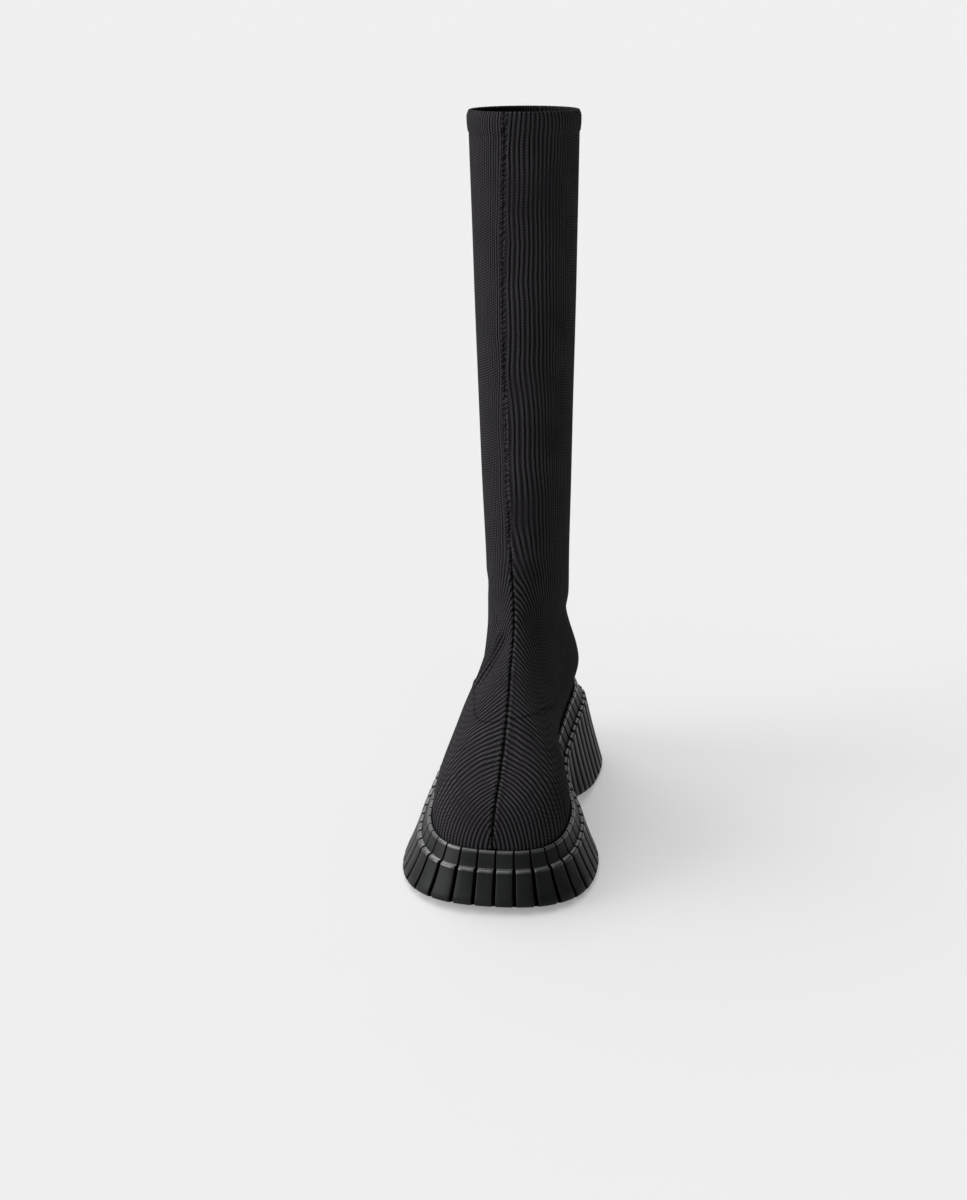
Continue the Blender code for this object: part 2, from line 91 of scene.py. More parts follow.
# What the looks add to the knit
RIB_PITCH = 0.0027  # one rib and one furrow
FINE_RIBS = 1.5  # this many fine ribs on the outer side of the shaft to each broad one
STITCH_PITCH = 0.0017
BEAD_PITCH = 0.0034  # lumps of the closing stitches beside the front seam
SEAM_FURROW = 0.0008
HEM_EDGE = 0.0004  # the folded hem's lower edge
HEM_PUFF = 0.0006  # how far the folded hem swells above it
HEM_TURN = 0.0016  # how far it draws in again at the top
SEAM_WELT = 0.0004

EVEN_FROM = 0.66  # from this turn of the foot's sections on, ribs spread evenly round the shaft

# Grids
FOOT_ROWS_SHOWN = 120
SHAFT_ROWS_SHOWN = 96
HALF_COLUMNS = 72
SECTION_SAMPLES = 180
SEAM_REACH = 0.020  # the front seam lies within this of each section's highest place

RimRow = namedtuple("RimRow", "along inner outer")
RIM_ROWS = (
    RimRow(0.035, 0.215, 0.215),
    RimRow(0.140, 0.346, 0.352),
    RimRow(0.280, 0.334, 0.378),
    RimRow(0.370, 0.312, 0.402),
    RimRow(0.470, 0.292, 0.460),
    RimRow(0.570, 0.332, 0.498),
    RimRow(0.670, 0.426, 0.522),
    RimRow(0.760, 0.476, 0.526),
    RimRow(0.840, 0.468, 0.503),
    RimRow(0.920, 0.415, 0.428),
    RimRow(0.975, 0.300, 0.300),
)

HeightRow = namedtuple("HeightRow", "along share")
RIM_HEIGHTS = (
    HeightRow(0.00, 1.000),
    HeightRow(0.20, 0.975),
    HeightRow(0.35, 0.800),
    HeightRow(0.50, 0.490),
    HeightRow(0.62, 0.240),
    HeightRow(0.75, 0.070),
    HeightRow(0.88, 0.000),
    HeightRow(1.00, 0.015),
)

GroundRow = namedtuple("GroundRow", "along arch spring")
GROUND_ROWS = (
    GroundRow(0.00, 0.0, 0.00),
    GroundRow(0.27, 0.0, 0.00),
    GroundRow(0.35, 0.4, 0.00),
    GroundRow(0.50, 1.0, 0.00),
    GroundRow(0.56, 0.5, 0.00),
    GroundRow(0.62, 0.0, 0.00),
    GroundRow(0.84, 0.0, 0.00),
    GroundRow(0.93, 0.0, 0.25),
    GroundRow(1.03, 0.0, 1.00),
)

FLARE_ALONG = (0.00, 0.30, 0.42, 0.50, 0.59, 0.78, 0.93, 1.00)
FLARE_OUT = (
    HEEL_FLARE,
    HEEL_FLARE,
    (HEEL_FLARE + WAIST_FLARE) / 2,
    WAIST_FLARE,
    (BALL_FLARE + WAIST_FLARE) / 2,
    BALL_FLARE,
    BALL_FLARE,
    TOE_FLARE,
)

SwellRow = namedtuple("SwellRow", "along inner outer")
SWELL_ROWS = (
    SwellRow(0.00, 0.000, 0.000),
    SwellRow(0.25, 0.038, 0.000),
    SwellRow(0.47, 0.056, -0.005),
    SwellRow(0.68, 0.010, 0.010),
    SwellRow(0.85, 0.000, 0.000),
    SwellRow(1.00, 0.000, 0.000),
)

FootRow = namedtuple("FootRow", "turn front instep shaft ridge cap full closed")
FOOT_ROWS = (
    FootRow(0.000, 1.0000, 0.000, 0.000, 1.00, 0.00, 2.20, 0.00),
    FootRow(0.060, 0.9970, 0.062, 0.000, 0.95, 0.00, 2.20, 0.00),
    FootRow(0.120, 0.9850, 0.145, 0.000, 0.85, 0.00, 2.25, 0.00),
    FootRow(0.180, 0.9570, 0.230, 0.000, 0.70, 0.00, 2.30, 0.00),
    FootRow(0.250, 0.9020, 0.312, 0.000, 0.50, 0.00, 2.30, 0.00),
    FootRow(0.320, 0.8250, 0.400, 0.000, 0.30, 0.00, 2.25, 0.00),
    FootRow(0.390, 0.7380, 0.498, 0.000, 0.10, 0.00, 2.15, 0.00),
    FootRow(0.460, 0.6490, 0.612, 0.000, 0.00, 0.00, 2.05, 0.00),
    FootRow(0.530, 0.5690, 0.748, 0.000, 0.00, 0.00, 2.00, 0.00),
    FootRow(0.600, 0.5080, 0.893, 0.000, 0.00, 0.02, 2.00, 0.05),
    FootRow(0.670, 0.4670, 1.000, 0.022, 0.00, 0.08, 2.00, 0.15),
    FootRow(0.740, 0.4420, 1.000, 0.063, 0.00, 0.20, 2.05, 0.35),
    FootRow(0.800, 0.4290, 1.000, 0.100, 0.00, 0.34, 2.10, 0.60),
    FootRow(0.860, 0.4225, 1.000, 0.135, 0.00, 0.44, 2.15, 0.80),
    FootRow(0.910, 0.4195, 1.000, 0.163, 0.00, 0.49, 2.15, 0.92),
    FootRow(0.955, 0.4180, 1.000, 0.187, 0.00, 0.52, 2.15, 0.98),
    FootRow(1.000, 0.4170, 1.000, 0.210, 0.00, 0.54, 2.15, 1.00),
)

ShaftRow = namedtuple("ShaftRow", "back rise front shaft cap")
SHAFT_ROWS = (
    ShaftRow(0.000, 0.000, 0.4170, 0.210, 0.54),
    ShaftRow(-0.003, 0.032, 0.4162, 0.238, 0.53),
    ShaftRow(0.000, 0.075, 0.4155, 0.270, 0.53),
    ShaftRow(0.012, 0.125, 0.4150, 0.308, 0.52),
    ShaftRow(0.030, 0.185, 0.4145, 0.358, 0.51),
    ShaftRow(0.044, 0.255, 0.4140, 0.418, 0.50),
    ShaftRow(0.048, 0.345, 0.4138, 0.490, 0.50),
    ShaftRow(0.043, 0.450, 0.4138, 0.577, 0.50),
    ShaftRow(0.031, 0.580, 0.4142, 0.682, 0.50),
    ShaftRow(0.018, 0.720, 0.4150, 0.792, 0.50),
    ShaftRow(0.009, 0.860, 0.4160, 0.896, 0.50),
    ShaftRow(0.004, 1.000, 0.4170, 1.000, 0.50),
)

WidthRow = namedtuple("WidthRow", "height share")
SHAFT_WIDTHS = (
    WidthRow(-0.30, 0.00),
    WidthRow(0.00, 0.00),
    WidthRow(0.10, 0.08),
    WidthRow(0.23, 0.25),
    WidthRow(0.42, 0.44),
    WidthRow(0.61, 0.65),
    WidthRow(0.78, 0.80),
    WidthRow(0.90, 0.91),
    WidthRow(1.00, 1.00),
)

# Front seam: how far it runs beside the boot's middle, by height above the floor
SeamRow = namedtuple("SeamRow", "height across")
SEAM_ROWS = (
    SeamRow(0.030, 0.0016),
    SeamRow(0.050, 0.0012),
    SeamRow(0.063, 0.0016),
    SeamRow(0.075, 0.0011),
    SeamRow(0.087, 0.0002),
    SeamRow(0.105, -0.0014),
    SeamRow(0.128, -0.0017),
    SeamRow(0.150, -0.0036),
    SeamRow(0.168, -0.0052),
    SeamRow(0.207, -0.0075),
    SeamRow(0.271, -0.0098),
    SeamRow(0.333, -0.0112),
    SeamRow(0.393, -0.0112),
    SeamRow(0.445, -0.0100),
)

# Slant of the ribs beside the seam, by place along the boot: 0 runs straight across it
SlantRow = namedtuple("SlantRow", "along slant")
SLANT_ROWS = (
    SlantRow(-0.05, 0.50),
    SlantRow(0.42, 0.60),
    SlantRow(0.52, 0.70),
    SlantRow(0.62, 0.52),
    SlantRow(0.72, 0.26),
    SlantRow(0.82, 0.30),
    SlantRow(0.90, 0.60),
    SlantRow(0.97, 0.90),
    SlantRow(1.03, 0.95),
)

# How close the ribs meet the seam, against their pitch
RateRow = namedtuple("RateRow", "along rate")
RATE_ROWS = (
    RateRow(0.42, 1.40),
    RateRow(0.49, 1.30),
    RateRow(0.54, 0.95),
    RateRow(0.60, 0.72),
    RateRow(0.72, 0.60),
    RateRow(0.80, 0.66),
    RateRow(0.88, 0.95),
    RateRow(1.00, 1.05),
)

# Soft troughs (negative lift) and ridges, each round a line between two points of the surface
CreaseRow = namedtuple("CreaseRow", "x0 y0 z0 x1 y1 z1 width lift")
CREASE_ROWS = (
    CreaseRow(-0.0130, 0.0079, 0.1180, -0.0253, -0.0010, 0.0892, 0.0035, 0.0022),
    CreaseRow(-0.0170, 0.0220, 0.1240, -0.0280, 0.0120, 0.0940, 0.0050, -0.0028),
    CreaseRow(-0.0080, 0.0040, 0.1180, -0.0205, -0.0060, 0.0920, 0.0048, -0.0024),
    CreaseRow(-0.0260, 0.0500, 0.1040, -0.0260, 0.0420, 0.0940, 0.0085, -0.0026),
    CreaseRow(0.0100, 0.0100, 0.1300, 0.0240, 0.0450, 0.1180, 0.0075, -0.0026),
    CreaseRow(0.0270, 0.0600, 0.1180, 0.0290, 0.0880, 0.1100, 0.0100, -0.0034),
    CreaseRow(0.0250, 0.0300, 0.0990, 0.0320, 0.0650, 0.0890, 0.0040, -0.0008),
    CreaseRow(0.0320, 0.0650, 0.0840, 0.0330, 0.0900, 0.0800, 0.0120, 0.0014),
    CreaseRow(-0.0200, 0.0500, 0.1400, -0.0200, 0.0950, 0.1450, 0.0080, -0.0012),
    CreaseRow(0.0180, -0.0050, 0.0980, 0.0290, 0.0150, 0.0820, 0.0060, -0.0008),
    CreaseRow(-0.0120, -0.0840, 0.0700, -0.0280, -0.0700, 0.0640, 0.0090, 0.0008),
)

# Edge of the inner reinforcement that shows through the vamp, from the inner side to the outer
PanelPoint = namedtuple("PanelPoint", "x y")
PANEL_EDGE = (
    PanelPoint(0.0275, 0.0120),
    PanelPoint(0.0266, -0.0011),
    PanelPoint(0.0238, -0.0203),
    PanelPoint(0.0174, -0.0394),
    PanelPoint(0.0102, -0.0475),
    PanelPoint(0.0000, -0.0520),
    PanelPoint(-0.0067, -0.0528),
    PanelPoint(-0.0152, -0.0497),
    PanelPoint(-0.0199, -0.0421),
    PanelPoint(-0.0227, -0.0309),
    PanelPoint(-0.0240, -0.0212),
    PanelPoint(-0.0262, -0.0040),
)


def cubic(knots, values, at):
    """Natural cubic spline through (knots, values): value and bend are continuous, the bend 0 at the ends."""
    x = np.asarray(knots, float)
    y = np.asarray(values, float)
    gap = np.diff(x)
    rise = np.diff(y) / gap
    count = len(x)
    rows = np.eye(count)
    right = np.zeros(count)
    for i in range(1, count - 1):
        rows[i, i - 1 : i + 2] = gap[i - 1], 2 * (gap[i - 1] + gap[i]), gap[i]
        right[i] = 6 * (rise[i] - rise[i - 1])
    bend = np.linalg.solve(rows, right)
    at = np.clip(np.asarray(at, float), x[0], x[-1])
    k = np.clip(np.searchsorted(x, at) - 1, 0, count - 2)
    a = (x[k + 1] - at) / gap[k]
    b = 1 - a
    curved = (a**3 - a) * bend[k] + (b**3 - b) * bend[k + 1]
    return a * y[k] + b * y[k + 1] + curved * gap[k] ** 2 / 6


def column(rows, name):
    """One named column of a table."""
    return [getattr(row, name) for row in rows]


def smooth_step(share):
    """3 s^2 - 2 s^3 between 0 and 1, flat outside."""
    share = np.clip(share, 0, 1)
    return share * share * (3 - 2 * share)


# The sole's outline and levels


def rim_loop():
    """Closed spline through the rim's rows, with its outward normals (the tangent turned a quarter)."""
    inner = [(row.inner * BALL_WIDTH, row.along * RIM_LENGTH) for row in RIM_ROWS]
    outer = [(-row.outer * BALL_WIDTH, row.along * RIM_LENGTH) for row in RIM_ROWS]
    corners = [(TOE_OFFSET, RIM_LENGTH), *inner[::-1], (0.0, 0.0), *outer]
    overlap = 5
    ring = np.array([*corners[-overlap:], *corners, *corners[: overlap + 1]])
    knots = np.append(0, np.cumsum(np.linalg.norm(np.diff(ring, axis=0), axis=1)))
    fine = np.linspace(knots[overlap], knots[overlap + len(corners)], 6000)
    places = np.stack([cubic(knots, ring[:, axis], fine) for axis in (0, 1)], axis=1)
    tangent = np.gradient(places, axis=0)
    tangent[0] = tangent[-1] = places[1] - places[-2]
    tangent /= np.linalg.norm(tangent, axis=1)[:, None]
    return places, np.stack([-tangent[:, 1], tangent[:, 0]], axis=1)


RIM_PLACES, RIM_NORMALS = rim_loop()
RIM_RUN = np.append(0, np.cumsum(np.linalg.norm(np.diff(RIM_PLACES, axis=0), axis=1)))


def rim_height(along):
    """Height of the rim above the floor."""
    share = cubic(column(RIM_HEIGHTS, "along"), column(RIM_HEIGHTS, "share"), along / RIM_LENGTH)
    return TOE_HEIGHT + share * (HEEL_HEIGHT - TOE_HEIGHT)


def ground_height(along):
    """Height of the underside: 0 under heel and ball, raised at the arch and at the toe's tip."""
    knots = column(GROUND_ROWS, "along")
    arch = np.interp(along / RIM_LENGTH, knots, column(GROUND_ROWS, "arch"))
    spring = np.interp(along / RIM_LENGTH, knots, column(GROUND_ROWS, "spring"))
    return ARCH_RISE * smooth_step(arch) + TOE_SPRING * spring


def flare(along):
    """How far the lower band leans out between the step and the floor."""
    return cubic(FLARE_ALONG, FLARE_OUT, along / RIM_LENGTH)


def tread_middle():
    """Middle of the sole's bounding box on the floor, which is the frame's origin."""
    total_out = BAND_LEAN + STEP_WIDTH + flare(RIM_PLACES[:, 1])
    edge = RIM_PLACES + RIM_NORMALS * total_out[:, None]
    return (edge.max(axis=0) + edge.min(axis=0)) / 2


TREAD_MIDDLE = tread_middle()


def place(across, along, height):
    """Points in the frame."""
    across, along, height = np.broadcast_arrays(across, along, height)
    return np.stack([across - TREAD_MIDDLE[0], TREAD_MIDDLE[1] - along, height], axis=-1)


# The upper's sections


def seat_sides(inset):
    """Each side of the rim moved inwards, as (along, across) with the toe first."""
    edge = RIM_PLACES - RIM_NORMALS * inset
    toe = np.argmax(edge[:, 1])
    edge = np.roll(edge[:-1], -toe, axis=0)
    heel = np.argmin(edge[:, 1])
    inner = edge[: heel + 1]
    outer = np.concatenate([edge[:1], edge[: heel - 1 : -1]])
    return (inner[:, 1], inner[:, 0]), (outer[:, 1], outer[:, 0])


SEAT_SIDES = seat_sides(RIM_WALL + FIT_GAP)
SEAT_BACK = SEAT_SIDES[0][0].min()
SEAT_LENGTH = SEAT_SIDES[0][0].max() - SEAT_BACK
SEAT_TIP = SEAT_SIDES[0][1][0]


def back_profile(height):
    """Place of the back seam at a height above the floor."""
    heights = HEEL_HEIGHT + np.array(column(SHAFT_ROWS, "rise")) * (BOOT_HEIGHT - HEEL_HEIGHT)
    places = SEAT_BACK + np.array(column(SHAFT_ROWS, "back")) * SEAT_LENGTH
    return cubic(heights, places, height)


def shaft_share(height):
    """0 at the instep and 1 at the collar."""
    return (height - INSTEP_HEIGHT) / (BOOT_HEIGHT - INSTEP_HEIGHT)


def shaft_centre(height):
    """How far the shaft stands beside the foot's axis."""
    return ANKLE_LEAN + (COLLAR_LEAN - ANKLE_LEAN) * np.clip(shaft_share(height), 0, 1)


def shaft_half_width(height):
    """Half of the shaft's width."""
    knots = column(SHAFT_WIDTHS, "height")
    share = cubic(knots, column(SHAFT_WIDTHS, "share"), shaft_share(height))
    return (ANKLE_WIDTH + share * (COLLAR_WIDTH - ANKLE_WIDTH)) / 2


def side_of_body(side, along, height):
    """Widest place of the body: the rim's outline low down, blended into the shaft's oval higher up."""
    sign = (1, -1)[side]
    knots, across = SEAT_SIDES[side]
    shift = back_profile(np.maximum(height, HEEL_HEIGHT)) - SEAT_BACK
    outline = np.interp(along - shift, knots[::-1], across[::-1])
    swell_rows = column(SWELL_ROWS, ("inner", "outer")[side])
    swell = cubic(column(SWELL_ROWS, "along"), swell_rows, along / RIM_LENGTH) * BALL_WIDTH
    risen = height - rim_height(along)
    outline = outline + sign * swell * smooth_step(risen / (0.35 * HEEL_HEIGHT))
    depth_share = np.clip(shaft_share(height), 0, 1)
    half_depth = (ANKLE_DEPTH + depth_share * (COLLAR_DEPTH - ANKLE_DEPTH)) / 2
    from_back = np.clip((along - back_profile(height)) / half_depth, 0, 1)
    oval = shaft_half_width(height) * np.sqrt(1 - (1 - from_back) ** 2)
    turned = smooth_step((height - BULGE_HEIGHT) / (INSTEP_HEIGHT - BULGE_HEIGHT))
    return (1 - turned) * outline + turned * (shaft_centre(height) + sign * oval)


def section_points(base, front, ridge, cap, full, closed):
    """One section over the foot, outer base to inner base, crowned by the superellipse r^n + w^n = 1."""
    steps = np.linspace(0, 1, SECTION_SAMPLES + 1)
    open_run = np.sin(steps * np.pi / 2)
    ring_run = (1 - np.cos(steps * np.pi)) / 2
    run = (1 - closed) * open_run + closed * ring_run
    along = base[0] + run * (front[0] - base[0])
    height = base[1] + run * (front[1] - base[1])
    crown = np.clip((run - cap) / (1 - cap), 0, 1)
    spread = np.maximum(1 - crown**full, 0) ** (1 / full)
    halves = []
    for side in (0, 1):
        across = side_of_body(side, along, height)
        halves.append(place(ridge + (across - ridge) * spread, along, height))
    inner, outer = halves
    if closed == 1:
        inner[0] = outer[0] = (inner[0] + outer[0]) / 2
    return np.concatenate([outer, inner[-2::-1]])


def foot_section(turn):
    """Section of the foot whose low ends stand on the rim; turn is 0 at the toe and 1 at the heel."""
    turns = column(FOOT_ROWS, "turn")
    front, instep, shaft, ridge, cap, full, closed = (
        float(cubic(turns, column(FOOT_ROWS, name), turn)) for name in FootRow._fields[1:]
    )
    base_along = SEAT_BACK + SEAT_LENGTH * (1 + np.cos(np.pi * turn)) / 2
    tip_height = rim_height(SEAT_BACK + SEAT_LENGTH)
    base = (base_along, rim_height(base_along))
    top = tip_height + instep * (INSTEP_HEIGHT - tip_height) + shaft * (BOOT_HEIGHT - INSTEP_HEIGHT)
    turned = smooth_step((top - HEEL_HEIGHT) / (INSTEP_HEIGHT - HEEL_HEIGHT))
    centre = (1 - turned) * SEAT_TIP * ridge + turned * shaft_centre(top)
    front_place = (SEAT_BACK + front * SEAT_LENGTH, top)
    return section_points(base, front_place, centre, max(cap, 0), full, np.clip(closed, 0, 1))


def shaft_section(share):
    """Slanting ring of the shaft, from the heel's end (0) to the collar (1)."""
    knots = np.linspace(0, 1, len(SHAFT_ROWS))
    rise, front, shaft, cap = (
        float(cubic(knots, column(SHAFT_ROWS, name), share)) for name in ShaftRow._fields[1:]
    )
    height = HEEL_HEIGHT + rise * (BOOT_HEIGHT - HEEL_HEIGHT)
    top = INSTEP_HEIGHT + shaft * (BOOT_HEIGHT - INSTEP_HEIGHT)
    base = (float(back_profile(height)), height)
    front_place = (SEAT_BACK + front * SEAT_LENGTH, top)
    return section_points(base, front_place, shaft_centre(top), cap, FOOT_ROWS[-1].full, 1)


def level_ring(height):
    """Level ring of the shaft."""
    fronts = cubic(column(SHAFT_ROWS, "shaft"), column(SHAFT_ROWS, "front"), shaft_share(height))
    base = (float(back_profile(height)), height)
    front = (SEAT_BACK + float(fronts) * SEAT_LENGTH, height)
    crown = SHAFT_ROWS[-1].cap, FOOT_ROWS[-1].full
    return section_points(base, front, shaft_centre(height), *crown, 1)


def seam_split(section):
    """A section resampled outwards from the front seam on both sides.

    The distance from the seam of column k is the side's length times (k / last)^1.5, so columns crowd
    beside the seam. Also returns each column's distance from the seam, negative on the outer side.
    """
    middle = len(section) // 2
    seam_x = float(cubic(column(SEAM_ROWS, "height"), column(SEAM_ROWS, "across"), section[middle, 2]))
    run = np.append(0, np.cumsum(np.linalg.norm(np.diff(section, axis=0), axis=1)))
    reach = min(int(np.sum(run < run[middle] + SEAM_REACH)) - middle, middle)
    near = slice(middle - reach, middle + reach + 1)
    seam_run = float(np.interp(seam_x, np.maximum.accumulate(section[near, 0]), run[near]))
    shares = np.linspace(0, 1, HALF_COLUMNS + 1) ** 1.5
    outer = seam_run * (1 - shares[::-1])
    inner = seam_run + (run[-1] - seam_run) * shares
    at = np.concatenate([outer, inner[1:]])
    points = np.stack([np.interp(at, run, section[:, axis]) for axis in range(3)], axis=1)
    return points, at - seam_run


def unit(vectors):
    """Vectors of length one."""
    return vectors / np.maximum(np.linalg.norm(vectors, axis=-1, keepdims=True), 1e-12)


def grid_normals(grid):
    """Cross product of the grid's two tangents, mended where a row or a column closes on itself."""
    rows = np.gradient(grid, axis=0)
    across = np.gradient(grid, axis=1)
    normals = unit(np.cross(across, rows))
    closed = np.linalg.norm(grid[:, 0] - grid[:, -1], axis=1) < 1e-6
    back = unit(normals[closed, 0] + normals[closed, -1])
    normals[closed, 0] = normals[closed, -1] = back
    normals[0] = unit(normals[1].mean(axis=0))
    return normals


def line_distance(points, start, end):
    """Distance of points from the line between two others."""
    start, end = np.array(start), np.array(end)
    span = end - start
    share = np.clip(((points - start) @ span) / (span @ span), 0, 1)
    return np.linalg.norm(points - start - share[..., None] * span, axis=-1)


def crease_lift(points):
    """Sum over the crease table of lift * exp(-(distance / width)^2)."""
    lift = np.zeros(points.shape[:-1])
    for row in CREASE_ROWS:
        distance = line_distance(points, (row.x0, row.y0, row.z0), (row.x1, row.y1, row.z1))
        lift += row.lift * np.exp(-((distance / row.width) ** 2))
    return lift


def panel_distance(points):
    """Distance from the reinforcement's edge, seen from above: negative inside, on the upper side only."""
    edge = np.array(PANEL_EDGE)
    flat = points[..., :2]
    nearest = np.full(flat.shape[:-1], 1.0)
    for start, end in zip(edge[:-1], edge[1:]):
        nearest = np.minimum(nearest, line_distance(flat, start, end))
    across = np.argsort(edge[:, 0])
    front = np.interp(flat[..., 0], edge[across, 0], edge[across, 1], left=1.0, right=1.0)
    signed = np.where(flat[..., 1] > front, -nearest, nearest)
    return np.where(points[..., 2] > 0.150, -0.05, signed)


def rib_run(grid, seam, turns):
    """Rib coordinate, in metres across the ribs.

    Low on the foot it is the place along the boot plus the slant times the sideways way from the seam,
    so ribs run upright on the sides and meet in arrows at the seam. Up the ankle it turns into an even
    share of each side's girth, so every rib then runs straight up to the collar.
    """
    middle = HALF_COLUMNS
    sideways = np.abs(np.diff(grid[..., 0], axis=1))
    inner = np.cumsum(sideways[:, middle:], axis=1)
    outer = np.cumsum(sideways[:, :middle][:, ::-1], axis=1)[:, ::-1]
    walked = np.concatenate([outer, np.zeros((len(grid), 1)), inner], axis=1)
    along = TREAD_MIDDLE[1] - grid[..., 1]
    slant = np.interp(along / RIM_LENGTH, column(SLANT_ROWS, "along"), column(SLANT_ROWS, "slant"))
    joint = len(turns) - 1
    own = grid[..., 1] - grid[:, middle : middle + 1, 1] + slant * walked
    seam_steps = np.diff(grid[:, middle, 1], prepend=grid[0, middle, 1])
    low = along[:, middle] / RIM_LENGTH
    rate = np.interp(low, column(RATE_ROWS, "along"), column(RATE_ROWS, "rate"))
    start = (grid[0, middle, 1] + np.cumsum(seam_steps * rate))[:, None]
    start[joint:] = start[joint]
    even = np.zeros_like(own)
    for part, end in ((slice(0, middle + 1), 0), (slice(middle, None), -1)):
        full = own[:, end].copy()
        full[joint:] = full[joint]
        even[:, part] = seam[:, part] / seam[:, end][:, None] * full[:, None]
    evened = np.ones((len(grid), 1))
    evened[: joint + 1, 0] = smooth_step((turns - EVEN_FROM) / (1 - EVEN_FROM))
    return start + own * (1 - evened) + even * evened


def joined_mesh(name, points, triangles, attributes, material):
    """A mesh from points and triangles, without triangles that have two corners in one place."""
    rounded = np.round(points / 2e-6).astype(np.int64)
    kept, first, where = np.unique(rounded, axis=0, return_index=True, return_inverse=True)
    triangles = where.ravel()[triangles]
    a, b, c = triangles.T
    triangles = triangles[(a != b) & (b != c) & (a != c)]
    points = points[first]
    mesh = bpy.data.meshes.new(name)
    mesh.vertices.add(len(points))
    mesh.vertices.foreach_set("co", points.ravel())
    mesh.loops.add(3 * len(triangles))
    mesh.loops.foreach_set("vertex_index", triangles.ravel().astype(np.int32))
    mesh.polygons.add(len(triangles))
    mesh.polygons.foreach_set("loop_start", np.arange(0, 3 * len(triangles), 3, dtype=np.int32))
    mesh.polygons.foreach_set("loop_total", np.full(len(triangles), 3, dtype=np.int32))
    mesh.update(calc_edges=True)
    for key, values in attributes.items():
        layer = mesh.attributes.new(key, "FLOAT", "POINT")
        layer.data.foreach_set("value", values.ravel()[first].astype(np.float32))
    mesh.materials.append(material)
    mesh.shade_smooth()
    piece = bpy.data.objects.new(name, mesh)
    bpy.context.scene.collection.objects.link(piece)
    return piece


def grid_triangles(rows, columns, start=0, around=False):
    """Two triangles for each cell of a grid; around joins the last column to the first."""
    low = np.arange(rows - 1)[:, None] * columns
    step = np.arange(columns if around else columns - 1)[None]
    a = low + step
    b = low + (step + 1) % columns
    cells = np.stack([a, b, b + columns, a, b + columns, a + columns], axis=-1)
    return cells.reshape(-1, 3) + start


